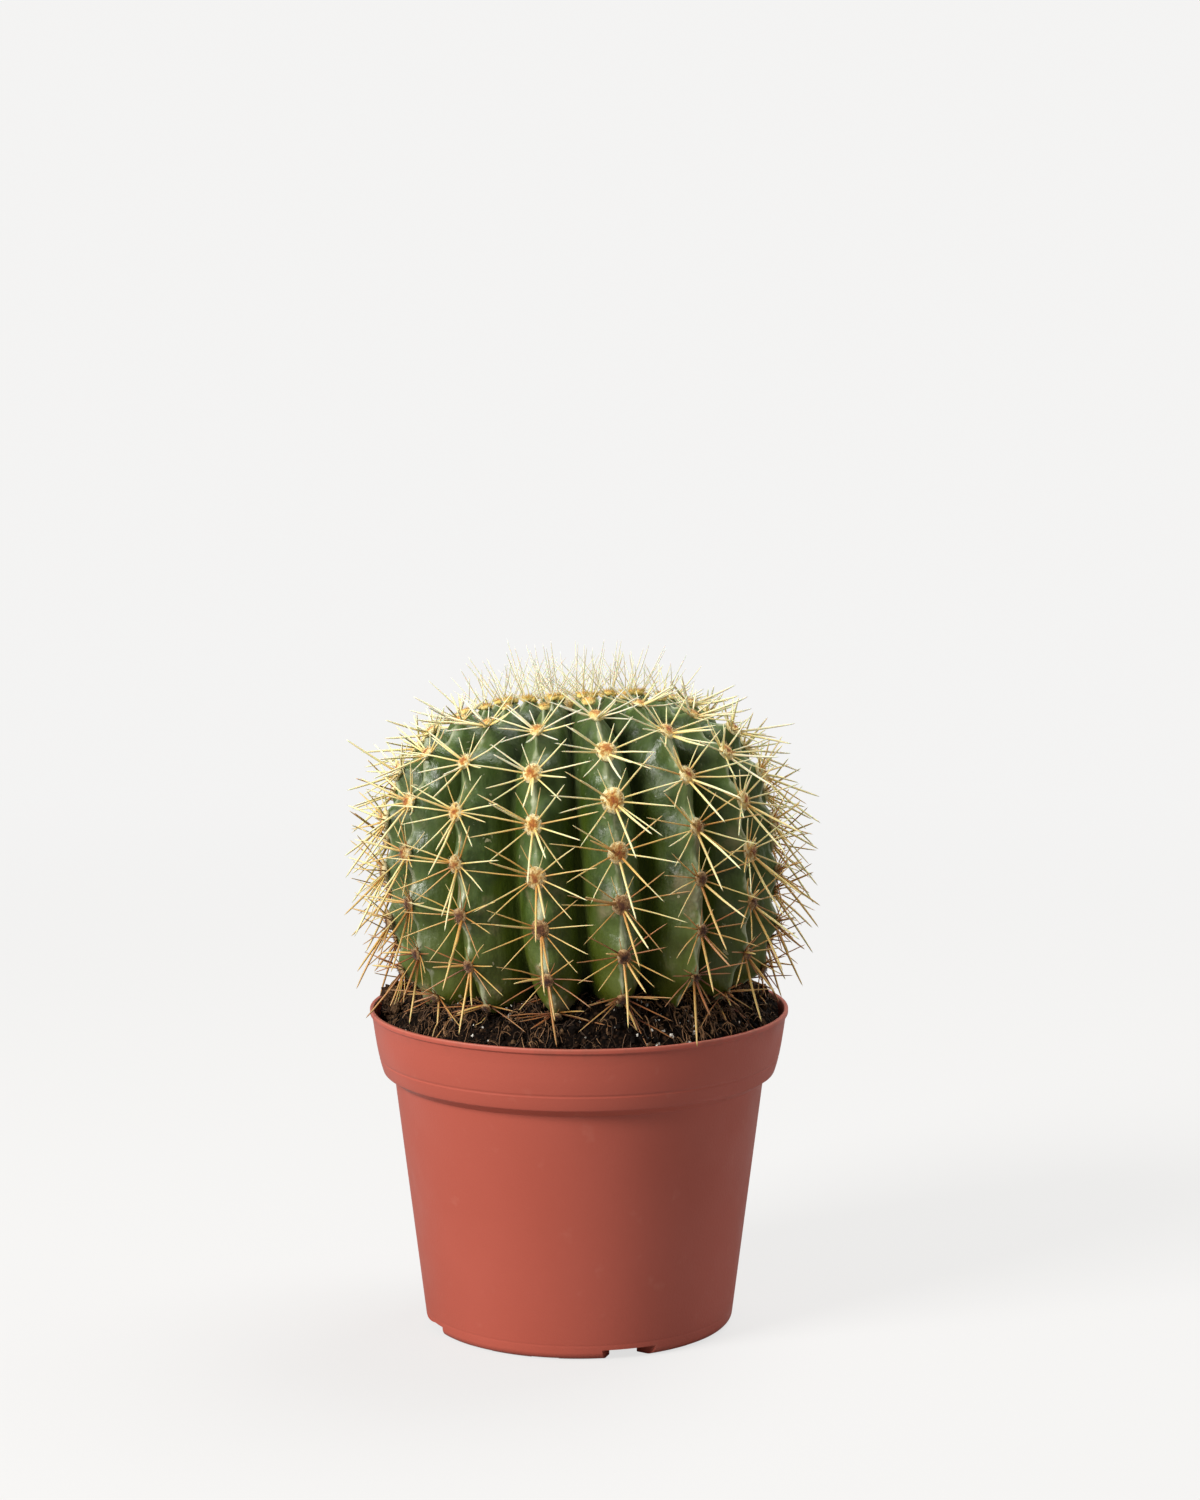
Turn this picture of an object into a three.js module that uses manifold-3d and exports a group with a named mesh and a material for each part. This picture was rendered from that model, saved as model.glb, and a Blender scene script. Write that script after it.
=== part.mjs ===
// A potted ball cactus: a thin moulded plastic nursery pot, the potting soil that fills it, and a
// ribbed cactus that stands in the soil with its spines fused to the areoles they grow from.
// Millimetres, +Z up. The origin is the centre of the pot's foot, on the surface it stands on.
// -Y is the front, and azimuths are counted from the front round to the right (+X).
import * as THREE from "three";
import { mergeVertices } from "three/addons/utils/BufferGeometryUtils.js";
import Module from "manifold-3d";

const wasm = await Module();
wasm.setup();

// Driving dimensions of the pot, a 12 cm nursery pot
const potHeight = 91.8;
const rimRadius = 60;
const wall = 1;
const lip = { height: 1.6, inner: 58.2, round: 0.5 };
const lipZ = potHeight - lip.height;
const collar = { topRadius: 59.4, footRadius: 56.2, footZ: 73.8, lean: 2.3, curve: 4 };
const collarShares = [0.25, 0.5, 0.86];
const groove = { up: 4.3, half: 0.45, depth: 0.35 };
const potWall = { topRadius: 53, topZ: 71.6, footRadius: 44.1, cornerRadius: 2.6 };
const foot = { inner: 38.8, floorZ: 3.4 };
const notch = { turn: 18.5, outerWidth: 15.5, innerWidth: 7.4, height: 2.9, depth: 6 };
const footGap = { fromNotch: 31.5, width: 8, height: 0.45 };
const drain = { radius: 4.5, ring: 27, centreRadius: 5.5, sides: 12 };
const roundSteps = 48;
const cutPast = 1;

// Driving dimensions of the soil
const clearance = 0.4;
const soilRimZ = 90;
const soilCorner = 1.5;
const soilRings = [57.8, 54, 50.5, 47, 43.5, 39, 32, 22];
const mound = { mean: 6.5, swing: 4.5, turn: 25, from: 58, to: 44 };
const clods = [
  { x: -51.5, y: 9, height: 6, reach: 5.5 },
  { x: 53.5, y: 6, height: 3.2, reach: 4.5 },
];
const lumps = [
  { height: 0.6, alongX: 0.43, alongY: 0.39 },
  { height: 0.35, alongX: 0.9, alongY: 0.8 },
];
const bowl = { gap: 0.5, seatGap: 0.35, topArc: 88 };

// Driving dimensions of the plant. Its outline is [radius, height over its base], and arcs are
// measured along a rib's crest from the crown's centre. Each rib has a small turn off its even
// place, in degrees, and its areoles sit a little further down or up than the mean.
const base = new THREE.Vector3(3.5, -5.9, 91.8);
const leanBack = 7.4;
const leanLeft = 4;
const crestOutline = [
  [0, 85],
  [6, 86],
  [13, 87.6],
  [22, 87],
  [33, 84.2],
  [42.3, 78.8],
  [49, 71.3],
  [53.2, 61.5],
  [55, 50],
  [55.2, 38],
  [54.4, 25],
  [52, 15],
  [47.2, 7],
  [39, 0.8],
  [27, -4.2],
  [12, -7.5],
  [0, -8],
];
const ribTurns = [-0.3, 1.5, 0, -1, 1.5, 0, -1.5, 1, 0, 1.5, -1, 0, 1, -2, -2.5, -0.8];
const ribShifts = [1.2, -4, 4, -3, 3, -5, 1, 5.5, -1, 6, 0, -5, 3, -2, 1.5, 6.3];
const ribCount = ribTurns.length;
const areoleArcs = [6.5, 12.5, 20, 28.5, 38, 52, 66, 80, 94, 108, 121];
const betweenArcs = [33, 45, 59, 73, 87, 101, 114.5, 128];
const plainArcs = [0, 138, 155];
const coarseArcs = { above: 30, below: 130 };
const columnsPerRib = 6;
const furrowShare = 0.22;
const crestRound = 1.55;
const tubercleTaper = 1.5;
const tubercle = { top: 1.5, foot: 0.5, endArc: 140 };
const shiftFade = { from: 15, to: 40, atBase: 12 };

// Spines: turn from straight up the rib, lift off the skin, length, all in degrees and mm
const sideSpines = [
  { turn: -56, lift: 27, length: 16 },
  { turn: 52, lift: 27, length: 16 },
  { turn: -108, lift: 25, length: 17 },
  { turn: 112, lift: 25, length: 17 },
  { turn: 180, lift: 32, length: 21 },
];
const crownSpines = [
  { turn: -50, lift: 52, length: 15.5 },
  { turn: 60, lift: 55, length: 15.5 },
  { turn: 175, lift: 66, length: 17 },
];
const wobble = { turn: 16, lift: 10, length: 0.2 };
const crownAreoles = 4;
const sparseAreoles = 2;
const spineRootRadius = 0.5;
const spineRootDepth = 1.6;
const spineClear = 0.9;
const rimClear = 2;
const bendStep = 0.12;
const mostBends = 12;
const testedShares = [0.35, 0.5, 0.65, 0.8, 1];
// on the plant's shoulder the spines are shorter, by [arc, share of the length]
const shoulderShares = [[14, 1], [24, 0.76], [38, 0.64], [52, 0.76], [66, 0.92], [80, 1]];

const degrees = Math.PI / 180;

// a repeatable number from 0 to 1 for each seed
function draw(seed) {
  const value = Math.sin(seed * 12.9898) * 43758.5453;
  return value - Math.floor(value);
}

function smooth(from, to, value) {
  const share = Math.min(1, Math.max(0, (value - from) / (to - from)));
  return share * share * (3 - 2 * share);
}

// a closed geometry as a solid that can be joined and cut
function solidOf(geometry) {
  const bare = new THREE.BufferGeometry();
  bare.setAttribute("position", geometry.getAttribute("position"));
  bare.setIndex(geometry.index);
  const merged = mergeVertices(bare, 1e-4);
  const corners = [];
  for (let i = 0; i < merged.index.count; i += 3) {
    const [a, b, c] = [0, 1, 2].map((k) => merged.index.getX(i + k));
    if (a !== b && b !== c && c !== a) corners.push(a, b, c);
  }
  const vertProperties = merged.attributes.position.array;
  const triVerts = new Uint32Array(corners);
  return new wasm.Manifold(new wasm.Mesh({ numProp: 3, vertProperties, triVerts }));
}

function geometryOf(solid) {
  const mesh = solid.getMesh();
  const geometry = new THREE.BufferGeometry();
  geometry.setAttribute("position", new THREE.BufferAttribute(mesh.vertProperties, 3));
  geometry.setIndex(new THREE.BufferAttribute(mesh.triVerts, 1));
  geometry.computeVertexNormals();
  return geometry;
}

// an outline of [radius, height] pairs turned round the Z axis
function turned(outline, steps) {
  const points = outline.map(([radius, height]) => new THREE.Vector2(radius, height));
  return new THREE.LatheGeometry(points, steps).rotateX(Math.PI / 2);
}

// a piece made at the origin, moved out to a radius and round to an azimuth
function setRound(geometry, radius, turn) {
  return geometry.translate(0, -radius, 0).rotateZ(turn * degrees);
}

// Pot
function outerWallRadius(z) {
  const { footRadius, topRadius, topZ } = potWall;
  return footRadius + ((topRadius - footRadius) * z) / topZ;
}

// the collar leans in a little all the way down, and curves in at its foot
function collarRadius(z) {
  const down = (lipZ - z) / (lipZ - collar.footZ);
  const curved = collar.topRadius - collar.lean - collar.footRadius;
  return collar.topRadius - collar.lean * down - curved * down ** collar.curve;
}

// [radius, height] points of the collar at shares of the way from the lip to its foot
function collarPoints(shares, inset) {
  return shares.map((share) => {
    const z = lipZ + (collar.footZ - lipZ) * share;
    return [collarRadius(z) - inset, z];
  });
}

function cornerArc() {
  const round = potWall.cornerRadius;
  const centreRadius = outerWallRadius(round) - round;
  return [0, 30, 60, 90].map((turn) => [
    centreRadius + round * Math.sin(turn * degrees),
    round - round * Math.cos(turn * degrees),
  ]);
}

function potOutline() {
  const floorTop = foot.floorZ + wall;
  const grooveZ = collar.footZ + groove.up;
  return [
    [0, foot.floorZ],
    [foot.inner, foot.floorZ],
    [foot.inner, 0],
    ...cornerArc(),
    [potWall.topRadius, potWall.topZ],
    [collar.footRadius, collar.footZ],
    ...collarPoints(collarShares.slice(-1), 0),
    [collarRadius(grooveZ - groove.half), grooveZ - groove.half],
    [collarRadius(grooveZ) - groove.depth, grooveZ],
    [collarRadius(grooveZ + groove.half), grooveZ + groove.half],
    ...collarPoints(collarShares.slice(0, -1), 0).reverse(),
    [collar.topRadius, lipZ],
    [rimRadius, lipZ + lip.round / 2],
    [rimRadius, potHeight - lip.round],
    [rimRadius - lip.round, potHeight],
    [lip.inner, potHeight],
    [collar.topRadius - wall, lipZ],
    ...collarPoints(collarShares, wall),
    [collar.footRadius - wall, collar.footZ + wall / 2],
    [potWall.topRadius - wall, potWall.topZ + wall / 2],
    [outerWallRadius(floorTop + wall) - wall, floorTop + wall],
    [outerWallRadius(floorTop) - 2 * wall, floorTop],
    [0, floorTop],
  ];
}

// a drainage notch through the foot ring, flared outwards
function notchCutter() {
  const [wide, narrow] = [notch.outerWidth / 2, notch.innerWidth / 2];
  const plan = new THREE.Shape();
  plan.moveTo(-narrow, notch.depth);
  plan.lineTo(-wide, -cutPast);
  plan.lineTo(wide, -cutPast);
  plan.lineTo(narrow, notch.depth);
  plan.closePath();
  const extrude = { depth: notch.height + cutPast, bevelEnabled: false };
  return new THREE.ExtrudeGeometry(plan, extrude).translate(0, 0, -cutPast);
}

function drainHole(radius) {
  const hole = new THREE.CylinderGeometry(radius, radius, 4 * wall, drain.sides);
  return hole.rotateX(Math.PI / 2).translate(0, 0, foot.floorZ);
}

function makePot() {
  let pot = solidOf(turned(potOutline(), roundSteps)).subtract(solidOf(drainHole(drain.centreRadius)));
  const footRadius = cornerArc()[0][0];
  for (let quarter = 0; quarter < 4; quarter++) {
    const turn = notch.turn + 90 * quarter;
    pot = pot.subtract(solidOf(setRound(notchCutter(), outerWallRadius(0), turn)));
    for (const side of [-1, 1]) {
      const gap = new THREE.BoxGeometry(footGap.width, footGap.width, 2 * footGap.height);
      pot = pot.subtract(solidOf(setRound(gap, footRadius, turn + side * footGap.fromNotch)));
    }
    pot = pot.subtract(solidOf(setRound(drainHole(drain.radius), drain.ring, turn + 45)));
  }
  return geometryOf(pot);
}

// Soil
function soilTop(x, y) {
  const radius = Math.hypot(x, y);
  const turn = Math.atan2(x, -y);
  const height = mound.mean + mound.swing * Math.cos(turn - mound.turn * degrees);
  let top = soilRimZ + height * (1 - smooth(mound.to, mound.from, radius));
  for (const lump of lumps) {
    top += lump.height * Math.sin(lump.alongX * x + 1) * Math.sin(lump.alongY * y);
  }
  for (const clod of clods) {
    top += clod.height * Math.exp(-((x - clod.x) ** 2 + (y - clod.y) ** 2) / clod.reach ** 2);
  }
  return top;
}

function soilOutline() {
  const floor = foot.floorZ + wall + clearance;
  const over = (wall + clearance) / 2;
  const inside = (z) => outerWallRadius(z) - wall - clearance;
  return [
    [0, floor],
    [inside(floor) - soilCorner, floor],
    [inside(floor + soilCorner), floor + soilCorner],
    [inside(potWall.topZ), potWall.topZ + over],
    [collar.footRadius - wall - clearance, collar.footZ + over],
    ...collarPoints(collarShares, wall + clearance).reverse(),
    ...soilRings.map((radius) => [radius, soilRimZ]),
    [0, soilRimZ],
  ];
}

// the plain hole that the plant's base stands in, a little wider than the ribs
function bowlOutline() {
  const sides = rowArcs.slice(1).filter((arc) => arc > bowl.topArc).map((arc) => {
    const { point, normal } = crestAt(arc);
    const gap = swellAt(arc) + bowl.gap;
    return [point.x + normal.x * gap, point.y + normal.y * gap];
  });
  const seat = crestOutline.at(-1)[1] - bowl.seatGap;
  return [[0, seat], ...sides, [0, sides.at(-1)[1]]];
}

function makeSoil() {
  const geometry = turned(soilOutline(), roundSteps);
  const position = geometry.getAttribute("position");
  for (let i = 0; i < position.count; i++) {
    const onTop = position.getZ(i) > soilRimZ - wall;
    if (onTop) position.setZ(i, soilTop(position.getX(i), position.getY(i)));
  }
  const hole = solidOf(turned(bowlOutline(), roundSteps).applyMatrix4(plantPlace));
  return geometryOf(solidOf(geometry).subtract(hole));
}

// Cactus
const crest = new THREE.SplineCurve(crestOutline.map((pair) => new THREE.Vector2(...pair)));
const crestLength = crest.getLength();
const rowArcs = [crestLength, ...areoleArcs, ...betweenArcs, ...plainArcs].sort((a, b) => b - a);
const plantPlace = new THREE.Matrix4().makeRotationFromEuler(
  new THREE.Euler(-leanBack * degrees, -leanLeft * degrees, 0, "YXZ"),
);
plantPlace.setPosition(base);

// a point of the crest's outline (x is the radius, y the height) and its outward direction
function crestAt(arc) {
  const share = Math.min(1, arc / crestLength);
  const tangent = crest.getTangentAt(share);
  return { point: crest.getPointAt(share), normal: new THREE.Vector2(-tangent.y, tangent.x) };
}

// the azimuth of a rib's crest, also for a rib number past the first or the last
function ribTurn(rib) {
  return (rib + 0.5) * (360 / ribCount) + ribTurns[(rib + ribCount) % ribCount];
}

function ribShift(rib, arc) {
  const fade = smooth(shiftFade.from, shiftFade.to, arc) * smooth(0, shiftFade.atBase, crestLength - arc);
  return ribShifts[rib % ribCount] * fade;
}

function spun(radius, height, turn) {
  return new THREE.Vector3(radius * Math.sin(turn * degrees), -radius * Math.cos(turn * degrees), height);
}

// how far the tubercles swell out at the areoles, and the crest dips between them
function swellAt(arc) {
  const swell = THREE.MathUtils.lerp(tubercle.top, tubercle.foot, arc / crestLength);
  return swell * smooth(tubercle.endArc, betweenArcs.at(-1), arc);
}

function bump(arc) {
  if (areoleArcs.includes(arc)) return swellAt(arc);
  return betweenArcs.includes(arc) ? -swellAt(arc) : 0;
}

// the skin at a share of a rib's width from its crest (-0.5 to 0.5) and an arc down the rib
function skin(rib, across, arc) {
  const near = ribTurn(rib);
  const next = ribTurn(rib + Math.sign(across));
  const fromCrest = Math.abs(2 * across);
  const { point, normal } = crestAt(arc + ribShift(rib, arc) * (1 - fromCrest));
  const sink = furrowShare * point.x * fromCrest ** crestRound;
  const out = bump(arc) * (1 - fromCrest) ** tubercleTaper - sink;
  return spun(point.x + normal.x * out, point.y + normal.y * out, near + Math.abs(across) * (next - near));
}

function bodyGeometry() {
  const columns = ribCount * columnsPerRib;
  const rows = rowArcs.length;
  const outline = rowArcs.map((arc) => crestAt(arc).point).map(({ x, y }) => [x, y]);
  const geometry = turned(outline, columns);
  const position = geometry.getAttribute("position");
  for (let i = 0; i < position.count; i++) {
    const column = Math.floor(i / rows) % columns;
    const rib = Math.round(column / columnsPerRib);
    const arc = rowArcs[i % rows];
    const fromCrest = column / columnsPerRib - rib;
    const coarse = arc < coarseArcs.above || arc > coarseArcs.below;
    const across = coarse ? Math.round(2 * fromCrest) / 2 : fromCrest;
    const onAxis = i % rows === 0 || i % rows === rows - 1;
    const spot = onAxis ? spun(0, outline[i % rows][1], 0) : skin(rib, across, arc);
    position.setXYZ(i, spot.x, spot.y, spot.z);
  }
  return geometry;
}

// whether a point of a spine, in the part's frame, is clear of the soil and the pot's rim
function isClear(point) {
  const radius = Math.hypot(point.x, point.y);
  if (point.z < soilTop(point.x, point.y) + spineClear && radius < rimRadius) return false;
  const besideRim = radius < lip.inner - rimClear || radius > rimRadius + rimClear;
  return point.z > potHeight + spineClear || besideRim;
}

// one three-sided spine from its sunk root, bent up until it clears the soil, or none
function spine(root, direction, length) {
  const up = new THREE.Vector3(0, 0, bendStep);
  for (let bend = 0; bend < mostBends; bend++) {
    const aim = direction.clone().addScaledVector(up, bend).normalize();
    const points = testedShares.map((share) => root.clone().addScaledVector(aim, length * share));
    if (points.every((point) => isClear(point.applyMatrix4(plantPlace)))) {
      const cone = new THREE.ConeGeometry(spineRootRadius, length, 3).translate(0, length / 2, 0);
      const turn = new THREE.Quaternion().setFromUnitVectors(new THREE.Vector3(0, 1, 0), aim);
      return cone.applyQuaternion(turn).translate(root.x, root.y, root.z);
    }
  }
  return null;
}

function shoulderShare(arc) {
  if (arc <= shoulderShares[0][0]) return 1;
  for (let i = 1; i < shoulderShares.length; i++) {
    const [from, low] = shoulderShares[i - 1];
    const [to, high] = shoulderShares[i];
    if (arc <= to) return low + ((high - low) * (arc - from)) / (to - from);
  }
  return 1;
}

function areoleSpines(rib, row) {
  const arc = areoleArcs[row];
  const areole = skin(rib, 0, arc);
  if (!isClear(areole.clone().applyMatrix4(plantPlace))) return [];
  const { normal } = crestAt(arc + ribShift(rib, arc));
  const turn = ribTurn(rib);
  const out = spun(normal.x, normal.y, turn);
  const up = spun(-normal.y, normal.x, turn);
  const side = new THREE.Vector3().crossVectors(up, out);
  const root = areole.clone().addScaledVector(out, -spineRootDepth);
  const list = row < crownAreoles ? crownSpines : sideSpines;
  return list.flatMap((one, number) => {
    const seed = 1000 * rib + 10 * row + number;
    const around = (one.turn + wobble.turn * (draw(seed) - 0.5)) * degrees;
    const raise = (one.lift + wobble.lift * (draw(seed + 0.31) - 0.5)) * degrees;
    const grown = one.length * shoulderShare(arc);
    const length = grown * (1 + wobble.length * (draw(seed + 0.62) - 0.5)) + spineRootDepth;
    const flat = up.clone().multiplyScalar(Math.cos(around)).addScaledVector(side, Math.sin(around));
    const direction = flat.multiplyScalar(Math.cos(raise)).addScaledVector(out, Math.sin(raise));
    const made = spine(root, direction, length);
    return made ? [made] : [];
  });
}

function makeCactus() {
  const pieces = [solidOf(bodyGeometry())];
  for (let rib = 0; rib < ribCount; rib++) {
    for (let row = 0; row < areoleArcs.length; row++) {
      const skipped = row < sparseAreoles && (rib + row) % 2 === 1;
      if (!skipped) pieces.push(...areoleSpines(rib, row).map(solidOf));
    }
  }
  return geometryOf(wasm.Manifold.union(pieces));
}

function meshOf(name, geometry, color, roughness) {
  const mesh = new THREE.Mesh(geometry, new THREE.MeshStandardMaterial({ color, roughness, metalness: 0 }));
  mesh.name = name;
  return mesh;
}

const pottedCactus = new THREE.Group();
pottedCactus.name = "potted_cactus";
const cactus = meshOf("cactus", makeCactus(), 0x3d5237, 0.55);
cactus.position.copy(base);
cactus.rotation.set(-leanBack * degrees, -leanLeft * degrees, 0, "YXZ");
pottedCactus.add(meshOf("pot", makePot(), 0xb05c4c, 0.5));
pottedCactus.add(meshOf("soil", makeSoil(), 0x2d1d14, 1));
pottedCactus.add(cactus);

export default pottedCactus;
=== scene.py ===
import bisect
import math
import random

import bmesh
import bpy
from mathutils import Matrix, Vector, noise


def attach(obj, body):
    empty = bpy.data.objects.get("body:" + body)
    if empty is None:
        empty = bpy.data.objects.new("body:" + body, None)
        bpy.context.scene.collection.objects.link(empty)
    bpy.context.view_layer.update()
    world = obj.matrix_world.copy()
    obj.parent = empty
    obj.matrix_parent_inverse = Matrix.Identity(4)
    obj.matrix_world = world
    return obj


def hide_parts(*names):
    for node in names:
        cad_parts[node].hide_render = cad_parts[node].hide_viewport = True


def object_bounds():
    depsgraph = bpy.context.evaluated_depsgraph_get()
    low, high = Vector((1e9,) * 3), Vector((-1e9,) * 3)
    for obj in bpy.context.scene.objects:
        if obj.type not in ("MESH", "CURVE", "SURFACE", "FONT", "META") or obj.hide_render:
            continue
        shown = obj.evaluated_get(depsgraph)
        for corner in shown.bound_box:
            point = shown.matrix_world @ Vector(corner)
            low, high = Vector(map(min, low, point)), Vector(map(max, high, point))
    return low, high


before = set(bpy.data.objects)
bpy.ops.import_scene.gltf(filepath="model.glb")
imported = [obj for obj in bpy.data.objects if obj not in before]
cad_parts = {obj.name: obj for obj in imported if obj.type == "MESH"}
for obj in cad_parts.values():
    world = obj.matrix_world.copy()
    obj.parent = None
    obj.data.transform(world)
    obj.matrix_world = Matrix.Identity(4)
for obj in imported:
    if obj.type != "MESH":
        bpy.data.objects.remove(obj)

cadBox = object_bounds()
mm = 0.001
upright = Vector((0, 0, 1))


# Numbers

def smooth(start, end, value):
    share = min(1, max(0, (value - start) / (end - start)))
    return share * share * (3 - 2 * share)


def mix(a, b, share):
    return a + (b - a) * share


def table(pairs, value):
    # a value read off a short list of (place, value) pairs
    for (x0, y0), (x1, y1) in zip(pairs, pairs[1:]):
        if value <= x1:
            return mix(y0, y1, min(1, max(0, (value - x0) / (x1 - x0))))
    return pairs[-1][1]


def draw(seed):
    # a repeatable number from 0 to 1 for each seed
    value = math.sin(seed * 12.9898) * 43758.5453
    return value - math.floor(value)


def polar(radius, turn):
    # x and y at an azimuth in degrees, counted from the front
    angle = math.radians(turn)
    return radius * math.sin(angle), -radius * math.cos(angle)


def discSpot(chance):
    # a random angle, and a distance from 0 to 1 that spreads evenly over a disc
    return chance.uniform(0, 2 * math.pi), math.sqrt(chance.random())


def pick(chance, value):
    # a random number in a range, or the value itself
    return chance.uniform(*value) if isinstance(value, tuple) else value


def scatter(chance, spread):
    return Vector([chance.gauss(0, spread) for axis in "xyz"])


# Meshes and objects

scratch = bpy.data.meshes.new("scratch")


def meshOf(name, bm):
    mesh = bpy.data.meshes.new(name)
    bm.to_mesh(mesh)
    bm.free()
    return mesh


def showObject(name, data):
    item = bpy.data.objects.new(name, data)
    bpy.context.scene.collection.objects.link(item)
    return item


def addPiece(name, bm, material, nodes=(), smoothShade=True):
    for face in bm.faces:
        face.smooth = smoothShade
    piece = showObject(name, meshOf(name, bm))
    piece.data.materials.append(material)
    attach(piece, "root")
    if nodes:
        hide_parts(*nodes)
    print(name, "has", len(piece.data.polygons), "faces")


def startLine(bm, points):
    # a line of corners to spin, from (radius, height) pairs in mm
    line = [bm.verts.new((0, -radius * mm, z * mm)) for radius, z in points]
    for pair in zip(line, line[1:]):
        bm.edges.new(pair)
    return line


def spinRound(bm, steps):
    bmesh.ops.spin(bm, geom=bm.verts[:] + bm.edges[:], axis=(0, 0, 1), cent=(0, 0, 0), dvec=(0, 0, 0),
                   angle=2 * math.pi, steps=steps, use_merge=True)


def closeUp(bm):
    bmesh.ops.remove_doubles(bm, verts=bm.verts, dist=0.002 * mm)
    bmesh.ops.recalc_face_normals(bm, faces=bm.faces)


def newTemplate(*layerNames):
    bm = bmesh.new()
    for name in layerNames:
        bm.verts.layers.float.new(name)
    return bm


def needleTemplate(sides, taper, *layerNames):
    # a unit needle from z 0 to 1, open at its sunk root; the taper lists its radius at places along it
    bm = newTemplate("along", *layerNames)
    bmesh.ops.create_cone(bm, cap_ends=False, segments=sides, radius1=1, radius2=1, depth=1)
    bmesh.ops.translate(bm, verts=bm.verts, vec=(0, 0, 0.5))
    for station in taper[1:-1]:
        bmesh.ops.bisect_plane(bm, geom=bm.verts[:] + bm.edges[:] + bm.faces[:],
                               plane_co=(0, 0, station[0]), plane_no=(0, 0, 1))
    tip = [edge for edge in bm.edges if all(vert.co.z > 0.999 for vert in edge.verts)]
    bmesh.ops.collapse(bm, edges=tip)
    along = bm.verts.layers.float["along"]
    for vert in bm.verts:
        vert[along] = vert.co.z
        radius = table(taper, vert.co.z)
        vert.co.x *= radius
        vert.co.y *= radius
    return bm


def grainTemplate(subdivisions, *layerNames):
    bm = newTemplate(*layerNames)
    bmesh.ops.create_icosphere(bm, subdivisions=subdivisions, radius=1)
    return bm


def stamp(bm, template, move, **values):
    # adds one copy of a small template, with each corner moved and its attributes set
    one = template.copy()
    layers = [(one.verts.layers.float[name], value) for name, value in values.items()]
    for vert in one.verts:
        vert.co = move(vert.co)
        for layer, value in layers:
            vert[layer] = value
    one.to_mesh(scratch)
    one.free()
    bm.from_mesh(scratch)


# Shader nodes: each socket knows the tree that it is in

def link(source, target):
    source.id_data.links.new(source, target)


def setInput(socket, value):
    if isinstance(value, bpy.types.NodeSocket):
        link(value, socket)
    elif isinstance(value, tuple) and len(value) == 3 and socket.type == "RGBA":
        socket.default_value = (*value, 1)
    else:
        socket.default_value = value


def addNode(tree, kind, inputs=None, **settings):
    made = tree.nodes.new("ShaderNode" + kind)
    for key, value in settings.items():
        setattr(made, key, value)
    for key, value in (inputs or {}).items():
        setInput(made.inputs[key], value)
    return made


def combine(operation, a, b):
    return addNode(a.id_data, "Math", {0: a, 1: b}, operation=operation).outputs[0]


def times(a, b):
    return combine("MULTIPLY", a, b)


def mixColor(share, low, high):
    return addNode(share.id_data, "Mix", {"Factor": share, 6: low, 7: high}, data_type="RGBA").outputs[2]


def coat(color, *layers):
    # tints laid over a colour one by one, each where its mask is, by all its shares
    for tint, mask, *shares in layers:
        for share in shares:
            mask = times(mask, share)
        color = mixColor(mask, color, tint)
    return color


def ramp(share, stops):
    # stops are a place from 0 to 1 with its red, green and blue
    made = addNode(share.id_data, "ValToRGB", {"Fac": share})
    elements = made.color_ramp.elements
    while len(elements) < len(stops):
        elements.new(1)
    for element, (place, *color) in zip(elements, stops):
        element.position = place
        element.color = (*color, 1)
    return made.outputs["Color"]


def between(value, low, high, toLow=0, toHigh=1):
    # a value eased from one range into another
    return addNode(value.id_data, "MapRange",
                   {"Value": value, "From Min": low, "From Max": high, "To Min": toLow, "To Max": toHigh},
                   interpolation_type="SMOOTHSTEP").outputs["Result"]


def cloud(vector, scale, detail, output="Fac"):
    made = addNode(vector.id_data, "TexNoise", {"Vector": vector, "Scale": scale, "Detail": detail})
    return made.outputs[output]


def attribute(tree, name):
    return addNode(tree, "Attribute", attribute_name=name).outputs["Fac"]


def objectPlace(tree):
    return addNode(tree, "TexCoord").outputs["Object"]


def mixShader(share, low, high):
    return addNode(share.id_data, "MixShader", {0: share, 1: low, 2: high}).outputs[0]


def seenShare(tree):
    # 1 for what the camera sees, 0 for what only lights the scene
    return addNode(tree, "LightPath").outputs["Is Camera Ray"]


def newGroup(name, **numbers):
    # a node group that makes a mask from a place and some numbers
    tree = bpy.data.node_groups.new(name, "ShaderNodeTree")
    tree.interface.new_socket("Vector", in_out="INPUT", socket_type="NodeSocketVector")
    for label, value in numbers.items():
        socket = tree.interface.new_socket(label, in_out="INPUT", socket_type="NodeSocketFloat")
        socket.default_value = value
    tree.interface.new_socket("Mask", in_out="OUTPUT", socket_type="NodeSocketFloat")
    return tree, tree.nodes.new("NodeGroupInput").outputs, tree.nodes.new("NodeGroupOutput").inputs["Mask"]


def makeMottleGroup():
    # soft patches from a noise
    tree, source, mask = newGroup("mottle", Scale=50, Low=0.4, High=0.6)
    link(between(cloud(source["Vector"], source["Scale"], 4), source["Low"], source["High"]), mask)
    return tree


def makeSpeckGroup():
    # small round specks, each at its own cell of a Voronoi pattern
    tree, source, mask = newGroup("specks", Scale=300, Size=0.2, Share=0.3)
    cells = addNode(tree, "TexVoronoi", {"Vector": source["Vector"], "Scale": source["Scale"]}).outputs
    inSpeck = combine("LESS_THAN", cells["Distance"], source["Size"])
    red = addNode(tree, "SeparateColor", {"Color": cells["Color"]}).outputs[0]
    link(times(inSpeck, combine("LESS_THAN", red, source["Share"])), mask)
    return tree


mottleGroup = makeMottleGroup()
speckGroup = makeSpeckGroup()


def placeGroup(group, vector, **numbers):
    return addNode(vector.id_data, "Group", {"Vector": vector, **numbers}, node_tree=group).outputs["Mask"]


def mottle(vector, scale, low, high):
    return placeGroup(mottleGroup, vector, Scale=scale, Low=low, High=high)


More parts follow.
